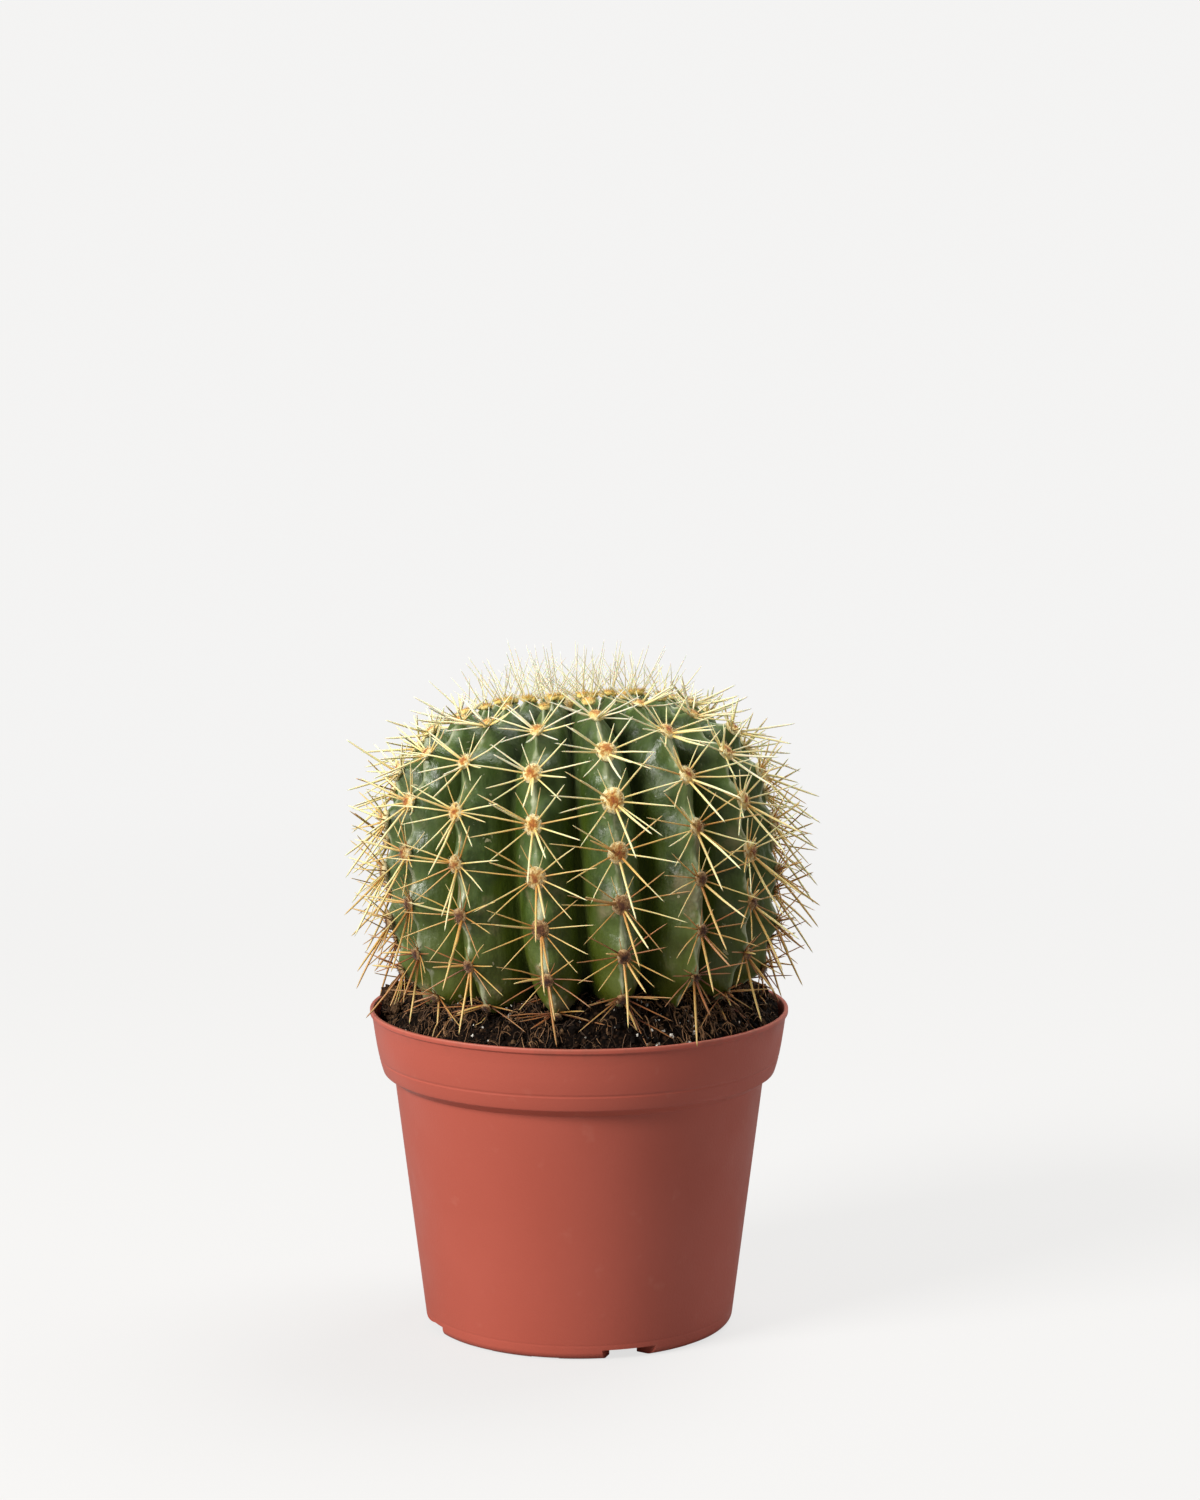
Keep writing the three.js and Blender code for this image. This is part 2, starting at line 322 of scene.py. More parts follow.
def specks(vector, scale, size, share):
    return placeGroup(speckGroup, vector, Scale=scale, Size=size, Share=share)


def newMaterial(name, numbers):
    # a material with its uniform numbers on the shader's own sockets
    material = bpy.data.materials.new(name)
    material.use_nodes = True
    surface = material.node_tree.nodes["Principled BSDF"]
    for key, value in numbers.items():
        setInput(surface.inputs[key], value)
    return material, material.node_tree


def finishMaterial(material, color, height=None, distance=0, rough=None):
    # joins the colour, a fine relief and an uneven sheen to the shader
    tree = material.node_tree
    surface = tree.nodes["Principled BSDF"]
    link(color, surface.inputs["Base Color"])
    if height is not None:
        relief = addNode(tree, "Bump", {"Height": height, "Distance": distance})
        link(relief.outputs["Normal"], surface.inputs["Normal"])
    if rough is not None:
        link(rough, surface.inputs["Roughness"])
    return material


# Camera, light and floor

camera = {"place": (0, -1, 0.2975), "pitch": 0.131, "yaw": 0.006, "lens": 85.04, "sensor": 36}
studio = {
    "pale": (0.905, 0.9, 0.893), "ambient": (1, 0.985, 0.95), "ambientStrength": 0.2,
    "floorHalf": 8, "nearShare": 0.14, "nearLit": 1.35, "nearFrom": 0.25, "nearTo": 1.1,
    "bounceColor": (0.3, 0.3, 0.3),
}
# name, place, aim, size, power and colour
lights = [
    ("key", (-1.25, -1, 1.1), (0, 0, 0.12), 0.7, 46, (1, 0.975, 0.94)),
    ("top", (0.45, 0.5, 1.5), (0, 0, 0.15), 0.9, 19, (1, 0.995, 0.98)),
    ("edge", (1.4, 0.25, 0.5), (0, 0, 0.1), 0.6, 3.5, (1, 0.99, 0.96)),
]


def makeCamera():
    data = bpy.data.cameras.new("camera")
    data.lens = camera["lens"]
    data.sensor_width = camera["sensor"]
    item = showObject("camera", data)
    item.location = camera["place"]
    item.rotation_euler = (math.pi / 2 - camera["pitch"], 0, -camera["yaw"])
    bpy.context.scene.camera = item


def makeLights():
    for name, place, aim, size, power, color in lights:
        data = bpy.data.lights.new(name, "AREA")
        data.size = size
        data.energy = power
        data.color = color
        item = showObject(name, data)
        item.location = place
        item.rotation_euler = (Vector(aim) - item.location).to_track_quat("-Z", "Y").to_euler()


def makeWorld():
    # pale where the camera sees it, dimmer as a light
    world = bpy.data.worlds.new("studio")
    world.use_nodes = True
    tree = world.node_tree
    ambient = tree.nodes["Background"]
    setInput(ambient.inputs["Color"], studio["ambient"])
    setInput(ambient.inputs["Strength"], studio["ambientStrength"])
    seen = addNode(tree, "Background", {"Color": studio["pale"]})
    both = mixShader(seenShare(tree), ambient.outputs[0], seen.outputs[0])
    link(both, tree.nodes["World Output"].inputs["Surface"])
    bpy.context.scene.world = world
    bpy.context.scene.view_settings.view_transform = "Standard"


def floorMaterial():
    # a pale surface without a horizon, which takes a soft shadow near the pot
    share = studio["nearShare"]
    glow = tuple(value - share * studio["nearLit"] for value in studio["pale"])
    material, tree = newMaterial("palePaper", {
        "Roughness": 0.9, "Specular IOR Level": 0, "Base Color": (share, share, share),
        "Emission Color": glow, "Emission Strength": 1})
    near = tree.nodes["Principled BSDF"]
    far = addNode(tree, "Emission", {"Color": studio["pale"]})
    bounce = addNode(tree, "BsdfDiffuse", {"Color": studio["bounceColor"]})
    distance = addNode(tree, "VectorMath", {0: objectPlace(tree)}, operation="LENGTH").outputs["Value"]
    farShare = between(distance, studio["nearFrom"], studio["nearTo"])
    seen = mixShader(farShare, near.outputs[0], far.outputs[0])
    both = mixShader(seenShare(tree), bounce.outputs[0], seen)
    link(both, tree.nodes["Material Output"].inputs["Surface"])
    return material


def makeFloor():
    bm = bmesh.new()
    bmesh.ops.create_grid(bm, x_segments=1, y_segments=1, size=studio["floorHalf"])
    floor = showObject("floor", meshOf("floor", bm))
    floor.data.materials.append(floorMaterial())


makeCamera()
makeLights()
makeWorld()
makeFloor()
print("studio is ready")


# Pot

pot = {
    "height": 91.8, "rim": 60, "wall": 1,
    "lipHeight": 1.6, "lipInner": 58.9, "lipRound": 0.5,
    "collarTop": 59.4, "collarFoot": 56.2, "collarZ": 73.8, "collarLean": 2.3, "collarCurve": 4,
    "collarUpper": [0.25, 0.5], "collarLower": [0.78, 0.86, 0.93], "collarInner": [0.25, 0.5, 0.78, 0.86],
    "grooveZ": 78.1, "grooveHalf": 0.5, "grooveDepth": 0.17,
    "wallTop": 53, "wallFoot": 44.1, "wallZ": 71.6, "cornerRadius": 2.6,
    "footInner": 38.8, "floorZ": 3.4, "creaseZ": 4.3, "creaseHalf": 0.4, "creaseDepth": 0.06,
    "steps": 192, "edgeRound": 0.22, "sharpFrom": 32,
    "notchTurn": 18.5, "notchOuter": 17.825, "notchInner": 7.4, "notchHeight": 2.9, "notchDepth": 6,
    "gapFromNotch": 31.5, "gapWidth": 8, "gapHeight": 0.45,
    "drainRadius": 4.5, "drainRing": 27, "drainCentre": 5.5,
}
lipZ = pot["height"] - pot["lipHeight"]


def outerRadius(z):
    return mix(pot["wallFoot"], pot["wallTop"], z / pot["wallZ"])


def collarRadius(z):
    # the collar leans in all the way down, and curves in at its foot
    down = (lipZ - z) / (lipZ - pot["collarZ"])
    curved = pot["collarTop"] - pot["collarLean"] - pot["collarFoot"]
    return pot["collarTop"] - pot["collarLean"] * down - curved * down ** pot["collarCurve"]


def collarPoints(shares, inset=0):
    # points of the collar at shares of the way down to its foot
    heights = [mix(lipZ, pot["collarZ"], share) for share in shares]
    return [(collarRadius(z) - inset, z) for z in heights]


def grooved(radiusAt, z, half, depth):
    # three points that cut a fine line round a wall
    return [(radiusAt(z - half), z - half), (radiusAt(z) - depth, z), (radiusAt(z + half), z + half)]


def potOutline():
    wall = pot["wall"]
    floorTop = pot["floorZ"] + wall
    bend = pot["cornerRadius"]
    angles = [math.radians(turn) for turn in range(0, 91, 15)]
    corner = [(outerRadius(bend) - bend + bend * math.sin(angle), bend - bend * math.cos(angle))
              for angle in angles]
    return [
        (0, pot["floorZ"]), (pot["footInner"], pot["floorZ"]), (pot["footInner"], 0), *corner,
        *grooved(outerRadius, pot["creaseZ"], pot["creaseHalf"], pot["creaseDepth"]),
        (pot["wallTop"], pot["wallZ"]), (pot["collarFoot"], pot["collarZ"]),
        *reversed(collarPoints(pot["collarLower"])),
        *grooved(collarRadius, pot["grooveZ"], pot["grooveHalf"], pot["grooveDepth"]),
        *reversed(collarPoints(pot["collarUpper"])), (pot["collarTop"], lipZ),
        (pot["rim"], lipZ + pot["lipRound"] / 2), (pot["rim"], pot["height"]),
        (pot["lipInner"], pot["height"]), (pot["collarTop"] - wall, lipZ),
        *collarPoints(pot["collarInner"], wall), (pot["collarFoot"] - wall, pot["collarZ"] + wall / 2),
        (pot["wallTop"] - wall, pot["wallZ"] + wall / 2),
        (outerRadius(floorTop + wall) - wall, floorTop + wall),
        (outerRadius(floorTop) - 2 * wall, floorTop), (0, floorTop),
    ]


def potBlank():
    # the closed outline with eased corners, spun round the Z axis
    bm = bmesh.new()
    face = bm.faces.new([bm.verts.new((radius * mm, 0, z * mm)) for radius, z in potOutline()])
    eased = [vert for vert in face.verts if vert.co.x > mm]
    bmesh.ops.bevel(bm, geom=eased, offset=pot["edgeRound"] * mm, affect="VERTICES", segments=3,
                    profile=0.5, material=-1)
    bmesh.ops.delete(bm, geom=bm.faces[:], context="FACES_ONLY")
    onAxis = [edge for edge in bm.edges if all(vert.co.x < 0.01 * mm for vert in edge.verts)]
    bmesh.ops.delete(bm, geom=onAxis, context="EDGES")
    spinRound(bm, pot["steps"])
    closeUp(bm)
    return bm


def setRound(radius, turn, z=0):
    # out from the axis to a radius, then round to an azimuth counted from the front
    return Matrix.Rotation(math.radians(turn), 4, "Z") @ Matrix.Translation((0, -radius * mm, z * mm))


def drainHole(bm, radius, sides, ring, turn):
    bmesh.ops.create_cone(bm, cap_ends=True, segments=sides, radius1=radius * mm, radius2=radius * mm,
                          depth=4 * pot["wall"] * mm, matrix=setRound(ring, turn, pot["floorZ"]))


def potCutters():
    bm = bmesh.new()
    footRadius = outerRadius(pot["cornerRadius"]) - pot["cornerRadius"]
    for quarter in range(4):
        turn = pot["notchTurn"] + 90 * quarter
        notch = bmesh.ops.create_cube(bm, size=1)["verts"]
        for vert in notch:
            outer, top = vert.co.y < 0, vert.co.z > 0
            vert.co = Vector((vert.co.x * (pot["notchOuter"] if outer else pot["notchInner"]),
                              -1 if outer else pot["notchDepth"], pot["notchHeight"] if top else -1)) * mm
        bmesh.ops.transform(bm, matrix=setRound(outerRadius(0), turn), verts=notch)
        for side in (-1, 1):
            gap = bmesh.ops.create_cube(bm, size=1)["verts"]
            size = Vector((pot["gapWidth"], pot["gapWidth"], 2 * pot["gapHeight"])) * mm
            bmesh.ops.scale(bm, vec=size, verts=gap)
            bmesh.ops.transform(bm, matrix=setRound(footRadius, turn + side * pot["gapFromNotch"]), verts=gap)
        drainHole(bm, pot["drainRadius"], 40, pot["drainRing"], turn + 45)
    drainHole(bm, pot["drainCentre"], 48, 0, 0)
    bmesh.ops.recalc_face_normals(bm, faces=bm.faces)
    return bm


def subtract(bm, cutters):
    # one exact Boolean, applied at once
    blank = showObject("potBlank", meshOf("potBlank", bm))
    cutter = showObject("potCutters", meshOf("potCutters", cutters))
    modifier = blank.modifiers.new("cut", "BOOLEAN")
    modifier.object = cutter
    modifier.solver = "EXACT"
    bpy.context.view_layer.update()
    cut = bpy.data.meshes.new_from_object(blank.evaluated_get(bpy.context.evaluated_depsgraph_get()))
    result = bmesh.new()
    result.from_mesh(cut)
    bpy.data.objects.remove(blank)
    bpy.data.objects.remove(cutter)
    return result


def potMaterial():
    material, tree = newMaterial("pottedPlastic", {"Specular IOR Level": 0.38})
    vector = objectPlace(tree)
    height = addNode(tree, "SeparateXYZ", {"Vector": vector}).outputs["Z"]
    color = mixColor(mottle(vector, 14, 0.3, 0.7), (0.44, 0.09, 0.058), (0.48, 0.103, 0.069))
    # scuffs, dust near the rim and a painted highlight along the top of the lip
    color = coat(color, ((0.62, 0.26, 0.19), mottle(vector, 160, 0.62, 0.8), 0.12),
                 ((0.16, 0.07, 0.045), between(height, 0.087, 0.0918), mottle(vector, 260, 0.5, 0.62), 0.2),
                 ((0.66, 0.27, 0.2), between(height, 0.0911, 0.0917, 0, 0.28)))
    rough = between(mottle(vector, 45, 0.3, 0.7), 0, 1, 0.38, 0.5)
    return finishMaterial(material, color, cloud(vector, 1500, 2), 0.00004, rough)


def makePot():
    bm = subtract(potBlank(), potCutters())
    for edge in bm.edges:
        edge.smooth = edge.calc_face_angle(0) < math.radians(pot["sharpFrom"])
    addPiece("potShell", bm, potMaterial(), ["pot"])


makePot()


# Plant: the same crest outline, rib places and areole places as the solid one

plant = {
    "base": (3.5, -5.9, 91.8), "leanBack": 7.4, "leanLeft": 4,
    "crest": [(0, 85), (6, 86), (13, 87.6), (22, 87), (33, 84.2), (42.3, 78.8), (49, 71.3), (53.2, 61.5),
              (55, 50), (55.2, 38), (54.4, 25), (52, 15), (47.2, 7), (39, 0.8), (27, -4.2), (12, -7.5),
              (0, -8)],
    "crestSteps": 800,
    "ribTurns": [-0.3, 1.5, 0, -1, 1.5, 0, -1.5, 1, 0, 1.5, -1, 0, 1, -2, -2.5, -0.8],
    "ribShifts": [1.2, -4, 4, -3, 3, -5, 1, 5.5, -1, 6, 0, -5, 3, -2, 1.5, 6.3],
    "areoleArcs": [6.5, 12.5, 20, 28.5, 38, 52, 66, 80, 94, 108, 121],
    "furrowShare": 0.22, "crestRound": 1.55, "ridge": 0.8, "ridgeHalf": 0.2, "gather": 1.25,
    "creaseFrom": 0.7, "creaseDepth": 2.2, "fullRadius": 25,
    "tubercleTop": 1.9, "tubercleFoot": 0.9, "tubercleEnd": 140, "tubercleFull": 128, "lastHalfWave": 7,
    "crownFrom": -12, "crownTo": 18, "swellRound": 1.5,
    "shiftFrom": 15, "shiftTo": 40, "shiftAtBase": 12,
    "columns": 26, "rowStep": 1.25,
    "waveSize": 9, "waveDepth": 0.45, "rippleSize": 3, "rippleDepth": 0.14, "calmTop": 14, "calmFoot": 20,
}
ribCount = len(plant["ribTurns"])
plantPlace = (Matrix.Translation(Vector(plant["base"]) * mm)
              @ Matrix.Rotation(-math.radians(plant["leanLeft"]), 4, "Y")
              @ Matrix.Rotation(-math.radians(plant["leanBack"]), 4, "X"))
plantInverse = plantPlace.inverted()


def planted(point):
    # a point of the plant in mm, moved to its place in the part
    return plantPlace @ (point * mm)


def splinePoint(points, share):
    place = share * (len(points) - 1)
    first = min(int(place), len(points) - 2)
    p0, p1, p2, p3 = (Vector(points[min(len(points) - 1, max(0, first + step))]) for step in (-1, 0, 1, 2))
    t = place - first
    v0, v1 = (p2 - p0) / 2, (p3 - p1) / 2
    return (2 * p1 - 2 * p2 + v0 + v1) * t ** 3 + (-3 * p1 + 3 * p2 - 2 * v0 - v1) * t ** 2 + v0 * t + p1


crestLine = [splinePoint(plant["crest"], step / plant["crestSteps"]) for step in range(plant["crestSteps"] + 1)]
crestArcs = [0]
for before, after in zip(crestLine, crestLine[1:]):
    crestArcs.append(crestArcs[-1] + (after - before).length)
crestLength = crestArcs[-1]
lowerCrest = crestLine[len(crestLine) // 2:]


def crestAt(arc):
    # the point of the outline at an arc, and its outward direction
    arc = min(crestLength, max(0, arc))
    low = min(bisect.bisect_right(crestArcs, arc), len(crestArcs) - 1) - 1
    p0, p1 = crestLine[low:low + 2]
    a0, a1 = crestArcs[low:low + 2]
    tangent = (p1 - p0).normalized()
    return p0.lerp(p1, (arc - a0) / (a1 - a0)), Vector((-tangent.y, tangent.x))


def ribTurn(rib):
    return (rib + 0.5) * 360 / ribCount + plant["ribTurns"][rib % ribCount]


def ribShift(rib, arc):
    fade = smooth(plant["shiftFrom"], plant["shiftTo"], arc)
    return plant["ribShifts"][rib % ribCount] * (fade * smooth(0, plant["shiftAtBase"], crestLength - arc))


def spun(radius, height, turn):
    return Vector((*polar(radius, turn), height))


def waveStations():
    # 1 at each areole and -1 halfway to the next
    arcs = plant["areoleArcs"]
    halfway = [(a + b) / 2 for a, b in zip(arcs, arcs[1:])] + [arcs[-1] + plant["lastHalfWave"]]
    found = [(0, 0)]
    for arc, low in zip(arcs, halfway):
        found += [(arc, 1), (low, -1)]
    return found + [(plant["tubercleEnd"], 0), (crestLength, 0)]


stations = waveStations()


def swellAt(arc):
    # how far the crest stands out at its areoles and dips between them
    wave = 0
    for (x0, y0), (x1, y1) in zip(stations, stations[1:]):
        if arc <= x1:
            wave = mix(y0, y1, smooth(x0, x1, arc))
            break
    size = mix(plant["tubercleTop"], plant["tubercleFoot"], arc / crestLength)
    fade = smooth(plant["crownFrom"], plant["crownTo"], arc)
    return wave * size * smooth(plant["tubercleEnd"], plant["tubercleFull"], arc) * fade


def skin(rib, across, arc):
    # a point of the skin at a share of a rib's width from its crest (-0.5 to 0.5), in the plant's own frame
    near, following = ribTurn(rib), ribTurn(rib + (1 if across > 0 else -1))
    fromCrest = abs(2 * across)
    point, normal = crestAt(arc + ribShift(rib, arc) * (1 - fromCrest))
    full = plant["fullRadius"]
    sink = plant["furrowShare"] * point.x * fromCrest ** plant["crestRound"]
    sink += plant["creaseDepth"] * smooth(plant["creaseFrom"], 1, fromCrest) * min(1, point.x / full)
    sink -= plant["ridge"] * (1 - smooth(0, plant["ridgeHalf"], fromCrest)) * smooth(0, full, point.x)
    out = swellAt(arc) * (1 - fromCrest) ** plant["swellRound"] - sink
    turn = near + abs(across) * (following - near)
    return spun(point.x + normal.x * out, point.y + normal.y * out, turn)


def unevenness(point, arc):
    # a slow wave and a fine ripple over the skin, in mm
    wave = noise.noise(point / plant["waveSize"]) * plant["waveDepth"]
    wave += noise.noise(point / plant["rippleSize"]) * plant["rippleDepth"]
    return wave * smooth(0, plant["calmTop"], arc) * smooth(crestLength, crestLength - plant["calmFoot"], arc)


def skinMaterial():
    material, tree = newMaterial("waxySkin", {"Specular IOR Level": 0.42})
    vector = objectPlace(tree)
    drift = cloud(vector, 300, 2, "Color")
    drift = addNode(tree, "VectorMath", {0: drift, "Scale": 0.006}, operation="SCALE").outputs[0]
    drifted = addNode(tree, "VectorMath", {0: vector, 1: drift}).outputs[0]
    streaky = addNode(tree, "Mapping", {"Vector": vector, "Scale": (1, 1, 0.14)}).outputs["Vector"]
    down = attribute(tree, "downRib")
    wander = between(cloud(vector, 240, 2), 0.2, 0.8, -0.07, 0.07)
    crest = combine("ADD", attribute(tree, "fromCrest"), wander)
    # green across a rib from crest to furrow: lighter at the crest, partly as a painted highlight, and darker
    # down into the furrows as painted shade
    color = ramp(crest, [(0, 0.175, 0.23, 0.085), (0.12, 0.095, 0.15, 0.04), (0.35, 0.044, 0.084, 0.013),
                         (0.7, 0.03, 0.056, 0.005), (1, 0.026, 0.045, 0.002)])
    cork = times(times(between(down, 0.36, 0.5), between(crest, 0.8, 0.3)), mottle(vector, 85, 0.54, 0.68))
    scars = times(specks(drifted, 230, 0.14, 0.2), between(crest, 0.75, 0.45))
    color = coat(
        color, ((0.13, 0.18, 0.058), mottle(streaky, 260, 0.42, 0.72), 0.5),
        ((0.098, 0.14, 0.05), mottle(vector, 70, 0.4, 0.7), 0.45),
        ((0.015, 0.03, 0.003), mottle(vector, 130, 0.5, 0.66), between(crest, 0.05, 0.3), 0.6),
        # olive low on the ribs, painted light that lightens the furrow walls from mid-height down, and painted
        # shade in the bottoms of the furrows near the soil
        ((0.105, 0.12, 0.006), between(down, 0.45, 0.78), between(crest, 1.7, 0.45, 0, 0.75)),
        ((0.075, 0.11, 0.005), between(down, 0.3, 0.48), between(crest, 0.5, 0.85, 0, 0.7)),
        ((0.006, 0.009, 0.001), between(down, 0.6, 0.8), between(crest, 0.45, 0.8, 0, 0.9)),
        # the pale line on the crests, part whitish flaking and part painted highlight, then cork, scars and
        # fine dots
        ((0.44, 0.47, 0.31), between(crest, 0.11, 0.03), mottle(streaky, 200, 0.4, 0.58), 0.75),
        ((0.25, 0.205, 0.115), cork, 0.75), ((0.5, 0.46, 0.27), scars, 0.8),
        ((0.38, 0.4, 0.26), specks(drifted, 620, 0.2, 0.14), mottle(vector, 60, 0.45, 0.6), 0.5))
    dull = combine("MAXIMUM", cork, scars)
    rough = between(mottle(vector, 110, 0.35, 0.65), 0, 1, 0.31, 0.5)
    rough = combine("MAXIMUM", rough, times(dull, 0.8))
    rough = combine("MAXIMUM", rough, between(crest, 0.6, 0.95, 0, 0.9))
    height = combine("ADD", cloud(vector, 700, 4), times(dull, 1.5))
    height = combine("ADD", height, times(cloud(streaky, 420, 3), 1.6))
    return finishMaterial(material, color, height, 0.0002, rough)


def makeSkin():
    rows = round(crestLength / plant["rowStep"])
    arcs = [crestLength * row / rows for row in range(rows + 1)]
    bm = bmesh.new()
    crest = bm.verts.layers.float.new("fromCrest")
    down = bm.verts.layers.float.new("downRib")
    for arc, vert in zip(arcs, startLine(bm, [crestAt(arc)[0] for arc in arcs])):
        vert[down] = arc / crestLength
    spinRound(bm, ribCount * plant["columns"])
    for vert in bm.verts:
        arc = vert[down] * crestLength
        point = spun(0, vert.co.z / mm, 0)
        if math.hypot(vert.co.x, vert.co.y) > 0.02 * mm:
            turn = math.degrees(math.atan2(vert.co.x, -vert.co.y)) % 360
            column = turn / 360 * ribCount - 0.5
            rib = math.floor(column + 0.5)
            across = 0.5 * math.copysign(abs(2 * (column - rib)) ** plant["gather"], column - rib)
            vert[crest] = abs(2 * across)
            point = skin(rib, across, arc)
            point += Vector((point.x, point.y, 0)).normalized() * unevenness(point, arc)
        vert.co = planted(point)
    closeUp(bm)
    addPiece("cactusSkin", bm, skinMaterial(), ["cactus"])


makeSkin()


# Soil

soil = {
    "rimZ": 90, "edge": 57.4, "clearance": 0.4, "corner": 1.5,
    "moundMean": 6.5, "moundSwing": 4.5, "moundTurn": 25, "moundFrom": 58, "moundTo": 44,
    "clods": [(-51.5, 9, 6, 5.5), (53.5, 6, 3.2, 4.5), (11, -46, 3, 7), (-5, -49, -1.5, 5),
              (-56.5, -6, -4, 7)],
    "lumps": [(0.6, 0.43, 0.39), (0.35, 0.9, 0.8)],
    "rough": [(5, 1.7), (2, 1.1), (0.8, 0.5)],
    "steps": 300, "ringStep": 0.8, "ringReach": 30, "hiddenRadius": 20, "hiddenFade": 8,
    "edgeDip": 2.2, "edgeWide": 4, "edgeShare": 0.6, "edgeLumps": 11, "sideUnder": 0.4,
    "plantShare": 0.74, "plantDip": 4, "plantFade": 6, "midRadius": 55,
    "openFrom": 33, "openTo": 56.8, "openSink": 0.5, "lieWithin": 57.2,
}


def soilTop(x, y):
    radius = math.hypot(x, y)
    turn = math.atan2(x, -y)
    height = soil["moundMean"] + soil["moundSwing"] * math.cos(turn - math.radians(soil["moundTurn"]))
    top = soil["rimZ"] + height * (1 - smooth(soil["moundTo"], soil["moundFrom"], radius))
    for size, alongX, alongY in soil["lumps"]:
        top += size * math.sin(alongX * x + 1) * math.sin(alongY * y)
    for cx, cy, height, reach in soil["clods"]:
        top += height * math.exp(-((x - cx) ** 2 + (y - cy) ** 2) / reach ** 2)
    return top


def crumbly(x, y):
    # the soil's rough surface, which dips unevenly at the pot's wall
    top = soilTop(x, y)
    for size, depth in soil["rough"]:
        top += depth * noise.noise(Vector((x, y, 3 * size)) / size)
    dip = soil["edgeShare"] + noise.noise(Vector((x, y, 9)) / soil["edgeLumps"])
    return top - soil["edgeDip"] * dip * smooth(soil["edge"] - soil["edgeWide"], soil["edge"], math.hypot(x, y))


def baseRadius(height):
    # the crest's radius at a height over the plant's base, on its lower side
    for above, below in zip(lowerCrest, lowerCrest[1:]):
        if below.y <= height <= above.y:
            return above.x
    return 0 if height < 0 else soil["midRadius"]


def plantSink(x, y):
    # the soil's top dips under the plant's round base, so that it never shows inside the skin
    local = plantInverse @ (Vector((x, y, soilTop(x, y))) * mm) / mm
    inside = baseRadius(local.z) * soil["plantShare"] - math.hypot(local.x, local.y)
    return soil["plantDip"] * smooth(0, soil["plantFade"], inside)


def soilMaterial():
    material, tree = newMaterial("peat", {"Roughness": 0.85, "Specular IOR Level": 0.08})
    vector = objectPlace(tree)
    color = ramp(mottle(vector, 900, 0.25, 0.75),
                 [(0, 0.002, 0.0012, 0.0008), (0.6, 0.006, 0.003, 0.0018), (1, 0.045, 0.023, 0.012)])
    color = coat(color, ((0.004, 0.0022, 0.0013), mottle(vector, 130, 0.45, 0.7)))
    return finishMaterial(material, color, cloud(vector, 1300, 6), 0.0007)


def soilOutline():
    inset = pot["wall"] + soil["clearance"]
    floor = pot["floorZ"] + inset
    side = floor + soil["corner"]
    rings = range(int(soil["ringReach"] / soil["ringStep"]))
    return [
        (0, floor), (outerRadius(floor) - inset - soil["corner"], floor), (outerRadius(side) - inset, side),
        (pot["wallTop"] - inset, pot["wallZ"] + inset / 2),
        (pot["collarFoot"] - inset, pot["collarZ"] + inset / 2),
        *reversed(collarPoints(pot["collarInner"], inset)),
        *[(soil["edge"] - ring * soil["ringStep"], soil["rimZ"]) for ring in rings],
        (soil["hiddenRadius"], soil["rimZ"]), (0, soil["rimZ"]),
    ]


def makeSoil():
    bm = bmesh.new()
    startLine(bm, soilOutline())
    spinRound(bm, soil["steps"])
    for vert in bm.verts:
        x, y = vert.co.x / mm, vert.co.y / mm
        if vert.co.z > (soil["rimZ"] - 0.01) * mm:
            inner = smooth(soil["hiddenRadius"], soil["hiddenRadius"] + soil["hiddenFade"], math.hypot(x, y))
            vert.co.z = (mix(soilTop(x, y), crumbly(x, y), inner) - plantSink(x, y)) * mm
        elif vert.co.z > pot["collarZ"] * mm:
            vert.co.z = min(vert.co.z, (crumbly(x, y) - soil["sideUnder"]) * mm)
    closeUp(bm)
    addPiece("soilBed", bm, soilMaterial(), ["soil"])


makeSoil()


# Loose bits on the soil

def soilSpot(chance, low=soil["openFrom"], high=soil["openTo"], richTurn=None):
    # a random spot of open soil, clear of the plant's base; most lie round a rich side, if there is one
    while True:
        radius = math.sqrt(mix(low ** 2, high ** 2, chance.random()))
        turn = chance.uniform(-180, 180)
        if richTurn is not None:
            rich = math.exp(-((turn - richTurn) / perlite["richSpread"]) ** 2)
            if chance.random() > mix(perlite["poorShare"], 1, rich):
                continue
        x, y = polar(radius, turn)
        if plantSink(x, y) < soil["openSink"]:
            return x, y


def heapSpot(chance, middle, spread):
    # a spot near an azimuth, between the plant's base and the pot's wall
    while True:
        turn = chance.gauss(middle, spread)
        x, y = polar(chance.uniform(*heaps["radius"]), turn)
        if plantSink(x, y) < soil["openSink"]:
            return x, y


def tumbled(chance, size, squash):
    # a random turn with uneven scales
    turned = Matrix.Rotation(chance.uniform(0, crumbs["mostTurn"]), 3, scatter(chance, 1))
    return turned @ Matrix.Diagonal([size * chance.uniform(squash, 1) for axis in "xyz"])


def addGrain(bm, chance, template, spot, size, sunk, rough, tone):
    place = Vector((*spot, crumbly(*spot) + size * sunk))
    shape = tumbled(chance, size, crumbs["squash"])
    shift = Vector([chance.uniform(-crumbs["shift"], crumbs["shift"]) for axis in "xyz"])

    def move(point):
        lumps = sum(depth * noise.noise(point * scale + shift) for scale, depth in crumbs["lumps"])
        return (place + shape @ (point * (1 + rough * lumps))) * mm

    stamp(bm, template, move, tone=tone)


def scatterGrains(bm, chance, kind):
    template = grainTemplate(kind["facets"], "tone")
    for number in range(kind["count"]):
        size = mix(*kind["size"], chance.random() ** crumbs["mostlySmall"])
        farthest = soil["edge"] - soil["clearance"] - crumbs["widest"] * size
        spot = soilSpot(chance, high=farthest, richTurn=kind.get("richTurn"))
        addGrain(bm, chance, template, spot, size, kind["sunk"], kind["rough"], kind["tone"] * chance.random())


